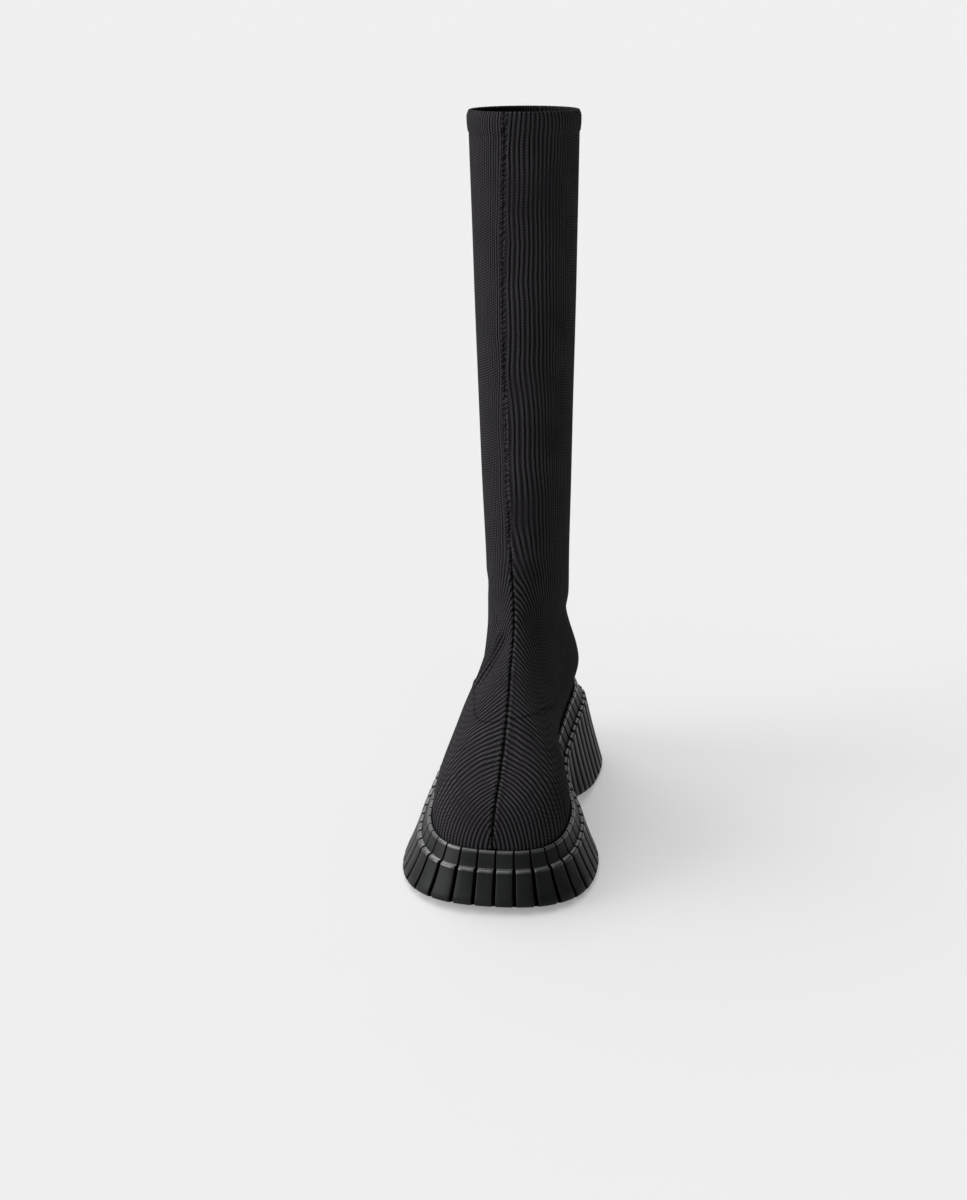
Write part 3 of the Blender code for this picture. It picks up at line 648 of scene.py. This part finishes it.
def knit_upper(material):
    """The knitted upper: outer wall, a rolled collar edge and inner wall, as one closed surface."""
    turns = np.linspace(0, 1, FOOT_ROWS_SHOWN)
    sections = [foot_section(turn) for turn in turns]
    last_slant = 0.93
    sections += [shaft_section(s) for s in np.linspace(0, last_slant, SHAFT_ROWS_SHOWN)[1:]]
    hem = BOOT_HEIGHT - HEM_HEIGHT
    levels = [hem - 0.0060, hem - 0.0012, hem - 0.0004, hem + 0.0004, hem + 0.0012]
    levels += list(np.linspace(hem + 0.0030, BOOT_HEIGHT - 0.0014, 9))
    sections += [level_ring(height) for height in levels]
    split = [seam_split(section) for section in sections]
    grid = np.array([points for points, _ in split])
    seam = np.array([run for _, run in split])
    rib = rib_run(grid, seam, turns)
    normals = grid_normals(grid)
    height = grid[..., 2]
    on_shaft = np.arange(len(grid))[:, None] > FOOT_ROWS_SHOWN
    hem_share = smooth_step((height - hem + 0.0004) / 0.0008) * on_shaft
    hem_puff = np.sin(np.pi * np.clip((height - hem) / HEM_HEIGHT, 0, 1)) ** 0.7 * HEM_PUFF
    hem_puff -= HEM_TURN * np.clip(1 - (BOOT_HEIGHT - height) / 0.004, 0, 1) ** 2
    up_shaft = smooth_step((height - 0.145) / 0.05)
    relief = SEAM_WELT * np.exp(-(((np.abs(seam) - 0.0024) / 0.0011) ** 2))
    relief -= SEAM_FURROW * (1 - 0.6 * up_shaft) * np.exp(-((seam / 0.0008) ** 2))
    fade = smooth_step((BOOT_HEIGHT - height) / 0.004) * smooth_step((height - 0.036) / 0.004)
    lift = crease_lift(grid) + relief * fade + HEM_EDGE * hem_share + hem_puff * hem_share
    outer = grid + normals * lift[..., None]
    wall = KNIT_WALL + HEM_EDGE * hem_share
    inner = outer - normals * wall[..., None] + normals * (relief * fade)[..., None] * -0.5
    edge_mid = (outer[-1] + inner[-1]) / 2
    edge_half = (outer[-1] - inner[-1]) / 2
    rounds = np.pi * np.arange(1, 8) / 8
    up = np.array([0.0, 0.0, 1.0])
    half = np.linalg.norm(edge_half, axis=1)[:, None]
    rolled = [edge_mid + edge_half * np.cos(a) + up * half * np.sin(a) for a in rounds]
    skin = np.concatenate([outer, rolled, inner[::-1]])
    drop = np.zeros((len(skin), 1, 3))
    foot = np.zeros(len(skin), bool)
    foot[:FOOT_ROWS_SHOWN] = True
    foot[-FOOT_ROWS_SHOWN:] = True
    drop[foot, 0, 2] = FIT_GAP - CUP_DEPTH
    skin = np.concatenate([skin[:, :1] + drop, skin, skin[:, -1:] + drop], axis=1)

    def spread(values):
        """One value for each point of the skin, from values on the outer grid."""
        rows = np.concatenate([values, np.repeat(values[-1:], len(rounds), axis=0), values[::-1]])
        return np.concatenate([rows[:, :1], rows, rows[:, -1:]], axis=1)

    outer_side = smooth_step(0.5 - seam / 0.012)
    along = TREAD_MIDDLE[1] - grid[..., 1]
    vamp = smooth_step((0.150 - height) / 0.04) * smooth_step((along / RIM_LENGTH - 0.38) / 0.12)
    crown = np.clip(normals[..., 2], 0, 1) ** 0.7
    attributes = {
        "coarse": spread(1 - up_shaft * (0.2 + 0.5 * outer_side)),
        # Painted light: the knit is lighter where the vamp faces up, as light from above would make it
        "vamp_top_light": spread(vamp * crown * smooth_step((height - 0.045) / 0.03)),
        "rib": spread(rib),
        "course": spread(height + 0.6 * np.abs(grid[..., 0])),
        "seam": spread(seam),
        "shaft": spread(up_shaft),
        "panel": spread(panel_distance(grid)),
    }
    rows, columns = skin.shape[:2]
    triangles = grid_triangles(rows, columns)
    ends = np.arange(FOOT_ROWS_SHOWN)
    low, high = ends[:-1], ends[1:]
    far_low, far_high = rows - 1 - low, rows - 1 - high
    hems = []
    for k, turn in ((0, 1), (columns - 1, -1)):
        a, b = low * columns + k, high * columns + k
        c, d = far_high * columns + k, far_low * columns + k
        hems.append(np.stack([a, b, c], axis=1)[:, ::turn])
        hems.append(np.stack([a, c, d], axis=1)[:, ::turn])
    triangles = np.concatenate([triangles, *hems])
    return joined_mesh("knit_upper", skin.reshape(-1, 3), triangles, attributes, material)


def groove_spread(run):
    """How much wider the grooves are at places round the rim than at the toe: up to HEEL_GROOVES."""
    along = np.interp(run, RIM_RUN, RIM_PLACES[:, 1]) / RIM_LENGTH
    return 1 + (HEEL_GROOVES - 1) * smooth_step((0.80 - along) / 0.35)


def block_columns():
    """Distances round the rim for every column of the sole, and each one's distance from its groove."""
    heel = RIM_RUN[np.argmin(RIM_PLACES[:, 1])]
    total = RIM_RUN[-1]
    inner = np.linspace(MOULD_LINE, heel, BLOCKS_A_SIDE + 1)
    outer = np.linspace(heel, total + MOULD_LINE, BLOCKS_A_SIDE + 1)
    grooves = np.concatenate([inner[:-1], outer])
    near = np.array([0.0, 0.18, 0.36, 0.45, 0.55, 0.66, 0.75, 0.85, 1.00, 1.25, 1.60]) / 1000
    shares = np.array([0.28, 0.5, 0.72])
    runs = []
    offsets = []
    for start, end in zip(grooves[:-1], grooves[1:]):
        gap = end - start
        beside = near * groove_spread(start % total)
        body = beside[-1] + shares * (gap - 2 * beside[-1])
        local = np.concatenate([beside, body, gap - beside[:0:-1]])
        runs.append(start + local)
        offsets.append(np.minimum(local, gap - local))
    return np.concatenate(runs) % total, np.concatenate(offsets)


def groove_share(offset, width, corner):
    """1 on a groove's floor, 0 on a block, and how deep the block's rounded corner falls there."""
    floor = np.clip((width / 2 - offset) / (0.16 * width), 0, 1)
    edge = np.clip(1 - (offset - width / 2) / corner, 0, 1)
    rounded = corner * (1 - np.sqrt(np.maximum(1 - edge**2, 0)))
    return floor, rounded


def moulded_sole(material):
    """The sole: a profile of level, lean and groove depth carried round the rim, closed across it."""
    run, offset = block_columns()
    spot = np.stack([np.interp(run, RIM_RUN, RIM_PLACES[:, axis]) for axis in (0, 1)], axis=1)
    normal = unit(np.stack([np.interp(run, RIM_RUN, RIM_NORMALS[:, axis]) for axis in (0, 1)], axis=1))
    along = spot[:, 1]
    rim = rim_height(along)
    ground = ground_height(along)
    step = rim - BAND_HEIGHT
    lean = flare(along)
    block_out = BAND_LEAN + STEP_WIDTH
    wide = groove_spread(run)
    deep, deep_corner = groove_share(offset, GROOVE_WIDTH * wide, BLOCK_CORNER * wide)
    fine, fine_corner = groove_share(offset, BAND_GROOVE_WIDTH * wide, BLOCK_CORNER * wide / 2)
    # Painted shade: the colour darkens into each groove and fades out 0.2 mm beyond its mouth
    dark = [np.clip(1 - (offset / wide - width / 2) / 0.0002, 0, 1) for width in (GROOVE_WIDTH, BAND_GROOVE_WIDTH)]
    rows = []

    def add(out, level, depth, corner=1.0):
        """A row of the lower band: out from the rim, cut by the deep grooves."""
        rows.append((out - depth * deep - corner * deep_corner * (1 - deep), level))

    # Tread's rounded edge, a quarter circle
    for angle in np.linspace(0, np.pi / 2, 6):
        out = block_out + lean - TREAD_ROUND * (1 - np.sin(angle))
        lift = TREAD_ROUND * (1 - np.cos(angle))
        rows.append((out - GROOVE_DEPTH * deep - deep_corner, ground + lift + 0.0020 * deep * (angle == 0)))
    top = step - BLOCK_ROUND
    bottom = ground + TREAD_ROUND
    # Face of the blocks, very slightly hollow
    for share in (0.2, 0.4, 0.6, 0.8):
        hollow = 0.0004 * np.sin(np.pi * share)
        add(block_out + lean * (1 - share) - hollow, bottom + share * (top - bottom), GROOVE_DEPTH)
    # Upper edge of the blocks, a quarter circle in to the ledge
    for angle in np.linspace(0, np.pi / 2, 5):
        out = block_out - BLOCK_ROUND * (1 - np.cos(angle))
        level = top + BLOCK_ROUND * np.sin(angle)
        cut = np.minimum(GROOVE_DEPTH, STEP_WIDTH + BAND_GROOVE_DEPTH - (block_out - out))
        rows.append((out - cut * deep - deep_corner * (1 - deep) * np.cos(angle), level - deep_corner * 0.6))
    # Ledge, and the foot of the upper band
    rows.append((BAND_LEAN + 0.0006 - (0.0006 + BAND_GROOVE_DEPTH) * deep, step + 0 * rim))
    rows.append((BAND_LEAN + 0.0001 - (0.0001 + BAND_GROOVE_DEPTH) * np.maximum(fine, 0), step + 0.0003))
    # Upper band with its fine grooves
    for share in (0.12, 0.4, 0.7, 0.9):
        out = BAND_LEAN * (1 - share)
        level = step + share * (BAND_HEIGHT - RIM_ROUND)
        rows.append((out - BAND_GROOVE_DEPTH * fine - fine_corner * (1 - fine), level))
    # Rim, rounded outside and inside
    for angle in np.linspace(0, np.pi / 2, 4):
        out = -RIM_ROUND * (1 - np.cos(angle))
        rows.append((out - 0.6 * BAND_GROOVE_DEPTH * fine, rim - RIM_ROUND * (1 - np.sin(angle))))
    for angle in np.linspace(0, np.pi / 2, 4):
        out = -RIM_WALL + 0.0005 * (1 - np.sin(angle))
        rows.append((out + 0 * rim, rim - 0.0005 * (1 - np.cos(angle))))
    rows.append((-RIM_WALL + 0 * rim, rim - CUP_DEPTH))
    levels = []
    for out, level in rows:
        edge = spot + normal * out[:, None]
        levels.append(place(edge[:, 0], edge[:, 1], level))
    grid = np.array(levels)
    count = len(run)
    triangles = grid_triangles(len(grid), count, around=True)
    top_row = (len(grid) - 1) * count
    k = np.arange(count // 2 - 1)
    a, b, c, d = k, k + 1, count - 2 - k, count - 1 - k
    floor = np.concatenate([np.stack([d, c, b], axis=1), np.stack([d, b, a], axis=1)])
    lid = np.concatenate([np.stack([a, b, c], axis=1), np.stack([a, c, d], axis=1)]) + top_row
    triangles = np.concatenate([triangles, floor, lid])
    edge = np.zeros(grid.shape[:2])
    edge[11:16] = 1.0
    edge[-9:-3] = 1.0
    band = np.zeros(grid.shape[:2])
    band[16:] = 1.0
    # Painted shade in the grooves: wide ones below the ledge, fine ones in the band above
    groove = dark[0] * (1 - band) + dark[1] * band
    attributes = {"edge": edge * (1 - groove), "groove": groove}
    piece = joined_mesh("moulded_sole", grid.reshape(-1, 3), triangles, attributes, material)
    piece.data.set_sharp_from_angle(angle=0.75)
    return piece


# Materials


def linear(hex_colour):
    """sRGB hex to linear RGBA."""
    values = np.array([int(hex_colour[i : i + 2], 16) for i in (1, 3, 5)]) / 255
    low = values / 12.92
    high = ((values + 0.055) / 1.055) ** 2.4
    return (*np.where(values <= 0.04045, low, high), 1.0)


def new_material(name):
    """An empty material with its shader."""
    material = bpy.data.materials.new(name)
    material.use_nodes = True
    tree = material.node_tree
    return material, tree, tree.nodes["Principled BSDF"]


def add_node(tree, kind, settings=None, **inputs):
    """Adds a node; settings are its properties, inputs are values or other nodes' sockets by name or i0, i1."""
    node = tree.nodes.new(kind)
    for key, value in (settings or {}).items():
        setattr(node, key, value)
    for key, value in inputs.items():
        socket = node.inputs[int(key[1:])] if key[0] == "i" and key[1:].isdigit() else node.inputs[key]
        if isinstance(value, bpy.types.NodeSocket):
            tree.links.new(value, socket)
        else:
            socket.default_value = value
    return node


def attribute(tree, name):
    """The value of one of the mesh's attributes."""
    return add_node(tree, "ShaderNodeAttribute", {"attribute_name": name}).outputs["Fac"]


def maths(tree, operation, first, second=0.5, third=0.5):
    """One Math node's result."""
    node = add_node(tree, "ShaderNodeMath", {"operation": operation}, i0=first, i1=second, i2=third)
    return node.outputs[0]


def rib_knit():
    """Polyester and elastane yarn, rib-knitted and matt black: the ribs' tops paler, partly the yarn's grey bloom
    and partly painted light, and the furrows between ribs and stitch loops near-black with painted shade.
    """
    material, tree, shader = new_material("black_rib_knit")
    spot = add_node(tree, "ShaderNodeTexCoord").outputs["Object"]
    waver = add_node(tree, "ShaderNodeTexNoise", None, Vector=spot, Scale=60.0, Detail=2.0)
    rib = maths(tree, "DIVIDE", attribute(tree, "rib"), RIB_PITCH)
    rib = maths(tree, "MULTIPLY_ADD", waver.outputs["Fac"], 0.5, rib)
    drift = add_node(tree, "ShaderNodeTexNoise", None, Vector=spot, Scale=20.0, Detail=1.0)
    rib = maths(tree, "MULTIPLY_ADD", drift.outputs["Fac"], 1.6, rib)
    broad = maths(tree, "SINE", maths(tree, "MULTIPLY", maths(tree, "FRACT", rib), np.pi))
    fine_run = maths(tree, "FRACT", maths(tree, "MULTIPLY", rib, FINE_RIBS))
    fine = maths(tree, "SINE", maths(tree, "MULTIPLY", fine_run, np.pi))
    broad = maths(tree, "POWER", broad, 0.8)
    coarse = attribute(tree, "coarse")
    mix = add_node(tree, "ShaderNodeMix", {"data_type": "FLOAT"}, i0=coarse, i2=fine, i3=broad)
    worn = add_node(tree, "ShaderNodeTexNoise", None, Vector=spot, Scale=26.0, Detail=2.0)
    clear = add_node(tree, "ShaderNodeMapRange", None, Value=worn.outputs["Fac"], i1=0.36, i2=0.52, i3=0.45, i4=1.0)
    even = add_node(tree, "ShaderNodeMix", {"data_type": "FLOAT"}, i0=clear.outputs[0], i2=0.6, i3=mix.outputs[0])
    ridge = even.outputs[0]
    course = maths(tree, "DIVIDE", attribute(tree, "course"), STITCH_PITCH)
    loops = maths(tree, "MULTIPLY", maths(tree, "PINGPONG", course, 0.5), ridge)
    away = maths(tree, "ABSOLUTE", attribute(tree, "seam"))
    line = add_node(tree, "ShaderNodeMapRange", None, Value=away, i1=0.0003, i2=0.0010, i3=1.0, i4=0.0)
    faint = maths(tree, "MULTIPLY_ADD", attribute(tree, "shaft"), -0.55, 1.0)
    sewn = maths(tree, "MULTIPLY", line.outputs[0], faint)
    strip = add_node(tree, "ShaderNodeMapRange", None, Value=away, i1=0.0013, i2=0.0026, i3=1.0, i4=0.0)
    bead_noise = add_node(tree, "ShaderNodeTexNoise", None, Vector=spot, Scale=260.0, Detail=2.0)
    bead_run = maths(tree, "DIVIDE", attribute(tree, "course"), BEAD_PITCH)
    beads = maths(tree, "MULTIPLY_ADD", bead_noise.outputs["Fac"], 2.6, bead_run)
    beads = maths(tree, "PINGPONG", beads, 0.5)
    beads = maths(tree, "MULTIPLY", maths(tree, "SUBTRACT", beads, 0.2), strip.outputs[0])
    edge = maths(tree, "ABSOLUTE", attribute(tree, "panel"))
    panel = add_node(tree, "ShaderNodeMapRange", None, Value=edge, i1=0.0003, i2=0.0008, i3=1.0, i4=0.0)
    signed = attribute(tree, "panel")
    inside = add_node(tree, "ShaderNodeMapRange", None, Value=signed, i1=-0.0004, i2=0.0004, i3=1.0, i4=0.0)
    fuzz = add_node(tree, "ShaderNodeTexNoise", None, Vector=spot, Scale=1400.0, Detail=3.0, Roughness=0.6)
    cloud = add_node(tree, "ShaderNodeTexNoise", None, Vector=spot, Scale=34.0, Detail=3.0, Roughness=0.5)
    level = maths(tree, "MULTIPLY_ADD", loops, 0.35, ridge)
    level = maths(tree, "MULTIPLY_ADD", fuzz.outputs["Fac"], 0.2, level)
    level = maths(tree, "MULTIPLY_ADD", beads, 1.2, level)
    level = maths(tree, "MULTIPLY_ADD", panel.outputs[0], -0.35, level)
    level = maths(tree, "MULTIPLY_ADD", inside.outputs[0], 0.5, level)
    level = maths(tree, "MULTIPLY_ADD", sewn, -0.7, level)
    bump = add_node(tree, "ShaderNodeBump", None, Height=level, Strength=1.0, Distance=0.0008)
    # Painted shade and light: the rib profile and the stitch loops darken the furrows and lighten the tops of the
    # ribs
    shade = maths(tree, "MULTIPLY_ADD", ridge, 0.66, maths(tree, "MULTIPLY", cloud.outputs["Fac"], 0.2))
    shade = maths(tree, "MULTIPLY_ADD", loops, 0.5, shade)
    # Stitch loops stronger on the shaft's outer side, which also comes out a little lighter overall: partly its
    # finer knit, partly painted light on the side the light falls on
    outer_loops_and_light = maths(tree, "MULTIPLY_ADD", loops, 1.4, -0.1)
    shade = maths(tree, "MULTIPLY_ADD", maths(tree, "SUBTRACT", 1.0, coarse), outer_loops_and_light, shade)
    # Painted light: the up-facing vamp a little lighter
    shade = maths(tree, "MULTIPLY_ADD", attribute(tree, "vamp_top_light"), 0.05, shade)
    shade = maths(tree, "MULTIPLY_ADD", beads, 1.0, shade)
    shade = maths(tree, "MULTIPLY_ADD", panel.outputs[0], -0.14, shade)
    shade = maths(tree, "MULTIPLY_ADD", sewn, -0.5, shade)
    tone = add_node(tree, "ShaderNodeValToRGB", None, Fac=shade)
    tone.color_ramp.elements[0].position = 0.15
    tone.color_ramp.elements[0].color = linear("#050505")
    tone.color_ramp.elements[1].position = 1.0
    tone.color_ramp.elements[1].color = linear("#3b393c")
    middle = tone.color_ramp.elements.new(0.55)
    middle.color = linear("#191719")
    tree.links.new(tone.outputs["Color"], shader.inputs["Base Color"])
    tree.links.new(bump.outputs["Normal"], shader.inputs["Normal"])
    shader.inputs["Roughness"].default_value = 0.9
    shader.inputs["Specular IOR Level"].default_value = 0.03
    return material


def moulded_rubber():
    """Black foamed rubber from a polished mould: a soft satin skin, with painted highlights making the rounded
    block tops and the rim paler.
    """
    material, tree, shader = new_material("moulded_black_rubber")
    spot = add_node(tree, "ShaderNodeTexCoord").outputs["Object"]
    grain = add_node(tree, "ShaderNodeTexNoise", None, Vector=spot, Scale=1800.0, Detail=2.0, Roughness=0.5)
    cloud = add_node(tree, "ShaderNodeTexNoise", None, Vector=spot, Scale=45.0, Detail=4.0, Roughness=0.55)
    # Painted highlight: the rounded upper edges of the blocks and the rim are made paler, in patches
    painted_edge_highlight = maths(tree, "MULTIPLY", attribute(tree, "edge"), cloud.outputs["Fac"])
    paler = maths(tree, "MULTIPLY_ADD", painted_edge_highlight, 1.0, cloud.outputs["Fac"])
    tone = add_node(tree, "ShaderNodeValToRGB", None, Fac=paler)
    tone.color_ramp.elements[0].position = 0.2
    tone.color_ramp.elements[0].color = linear("#101112")
    tone.color_ramp.elements[1].position = 1.0
    tone.color_ramp.elements[1].color = linear("#363738")
    face = tone.color_ramp.elements.new(0.7)
    face.color = linear("#1e1f20")
    rough = add_node(tree, "ShaderNodeMapRange", None, Value=cloud.outputs["Fac"], i1=0.3, i2=0.7, i3=0.38, i4=0.47)
    bump = add_node(tree, "ShaderNodeBump", None, Height=grain.outputs["Fac"], Strength=0.25, Distance=0.00005)
    # Painted shade: the base colour turns near-black in the grooves, and the gloss is dropped there too
    sunk = add_node(tree, "ShaderNodeMix", {"data_type": "RGBA"}, i0=attribute(tree, "groove"))
    tree.links.new(tone.outputs["Color"], sunk.inputs[6])
    sunk.inputs[7].default_value = linear("#060606")
    tree.links.new(sunk.outputs[2], shader.inputs["Base Color"])
    polished = maths(tree, "MULTIPLY_ADD", attribute(tree, "edge"), -0.18, rough.outputs[0])
    tree.links.new(polished, shader.inputs["Roughness"])
    tree.links.new(bump.outputs["Normal"], shader.inputs["Normal"])
    gloss = maths(tree, "MULTIPLY_ADD", attribute(tree, "edge"), 0.50, 0.10)
    gloss = maths(tree, "MULTIPLY", gloss, maths(tree, "SUBTRACT", 1.0, attribute(tree, "groove")))
    tree.links.new(gloss, shader.inputs["Specular IOR Level"])
    return material


def insole_cloth():
    """Black brushed polyester glued on foam: matt, with a fine weave about 0.8 mm apart."""
    material, tree, shader = new_material("insole_textile")
    spot = add_node(tree, "ShaderNodeTexCoord").outputs["Object"]
    weave = add_node(tree, "ShaderNodeTexVoronoi", None, Vector=spot, Scale=1250.0)
    bump = add_node(tree, "ShaderNodeBump", None, Height=weave.outputs["Distance"], Strength=0.6, Distance=0.0002)
    tone = add_node(tree, "ShaderNodeValToRGB", None, Fac=weave.outputs["Distance"])
    tone.color_ramp.elements[0].color = linear("#1d1c1e")
    tone.color_ramp.elements[1].color = linear("#2c2b2d")
    tree.links.new(tone.outputs["Color"], shader.inputs["Base Color"])
    tree.links.new(bump.outputs["Normal"], shader.inputs["Normal"])
    shader.inputs["Roughness"].default_value = 0.9
    return material


def studio_paper():
    """Seamless pale paper on a light table: matt, lit a little from below."""
    material, tree, shader = new_material("studio_paper")
    shader.inputs["Base Color"].default_value = linear("#aaaaaa")
    shader.inputs["Emission Color"].default_value = linear("#ffffff")
    shader.inputs["Emission Strength"].default_value = 0.285
    shader.inputs["Roughness"].default_value = 1.0
    shader.inputs["Specular IOR Level"].default_value = 0.0
    return material


# The boot

sole = moulded_sole(moulded_rubber())
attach(sole, "root")
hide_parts("outsole")

upper = knit_upper(rib_knit())
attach(upper, "root")
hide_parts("upper")

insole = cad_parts["insole"]
insole.material_slots[0].material = insole_cloth()

# Studio: the paper runs level under the boot out to the horizon


def paper_floor():
    """A level sheet, 120 m each way, so its far edge lies at the horizon."""
    reach = np.array([-60.0, 60.0])
    points = np.array([[(x, y, 0.0) for x in reach] for y in reach])
    return joined_mesh("studio_floor", points.reshape(-1, 3), grid_triangles(2, 2), {}, studio_paper())


paper_floor()


def add_light(name, kind, turn, strength, size, spot=(0, 0, 0)):
    """A lamp that shines along its own -Z, turned by the angles in degrees."""
    data = bpy.data.lights.new(name, kind)
    data.energy = strength
    if kind == "SUN":
        data.angle = np.radians(size)
    else:
        data.shape = "DISK"
        data.size = size
    lamp = bpy.data.objects.new(name, data)
    lamp.rotation_euler = Euler(np.radians(turn))
    lamp.location = spot
    bpy.context.scene.collection.objects.link(lamp)
    return lamp


KEY_TOWARDS = Vector((-0.35, 0.50, 0.79))  # a wide soft box overhead, a little behind and to the left
FILL_TOWARDS = Vector((-0.93, -0.30, 0.20))  # a weaker one at the left
for lamp_name, towards, strength, size in (
    ("key_soft", KEY_TOWARDS, 1.38, 45),
    ("fill_left", FILL_TOWARDS, 3.0, 50),
):
    add_light(lamp_name, "SUN", np.degrees(towards.to_track_quat("Z", "Y").to_euler()), strength, size)

# A dome that brightens towards the top and darkens to the right lights the boot; seen directly it is
# as white as the lit paper
world = bpy.data.worlds.new("studio")
bpy.context.scene.world = world
world.use_nodes = True
sky = world.node_tree
dim = sky.nodes["Background"]
way = add_node(sky, "ShaderNodeTexCoord").outputs["Generated"]
ways = add_node(sky, "ShaderNodeSeparateXYZ", None, Vector=way).outputs
dome = maths(sky, "MULTIPLY_ADD", maths(sky, "MAXIMUM", ways["Z"], 0.0), 1.78, 0.1)
right = add_node(sky, "ShaderNodeMapRange", None, Value=ways["X"], i1=0.0, i2=0.5, i3=1.0, i4=0.05)
dome = maths(sky, "MULTIPLY", dome, right.outputs[0])
sky.links.new(dome, dim.inputs["Strength"])
dim.inputs["Color"].default_value = (1, 1, 1, 1)
white = add_node(sky, "ShaderNodeBackground", None, Color=linear("#f0f0f0"), Strength=1.0)
seen = add_node(sky, "ShaderNodeLightPath").outputs["Is Camera Ray"]
both = add_node(sky, "ShaderNodeMixShader", None, i0=seen)
sky.links.new(dim.outputs[0], both.inputs[1])
sky.links.new(white.outputs[0], both.inputs[2])
sky.links.new(both.outputs[0], sky.nodes["World Output"].inputs["Surface"])

camera_data = bpy.data.cameras.new("camera")
camera_data.lens = 54.0
camera_data.sensor_width = 36.0
camera_data.clip_start = 0.05
camera = bpy.data.objects.new("camera", camera_data)
camera.location = (0.1193, -1.0836, 0.488)
camera.rotation_euler = Euler(np.radians((90 - 17.4, 0.0, 7.36)))
bpy.context.scene.collection.objects.link(camera)
bpy.context.scene.camera = camera

bpy.context.scene.view_settings.view_transform = "Standard"

bpy.context.view_layer.update()
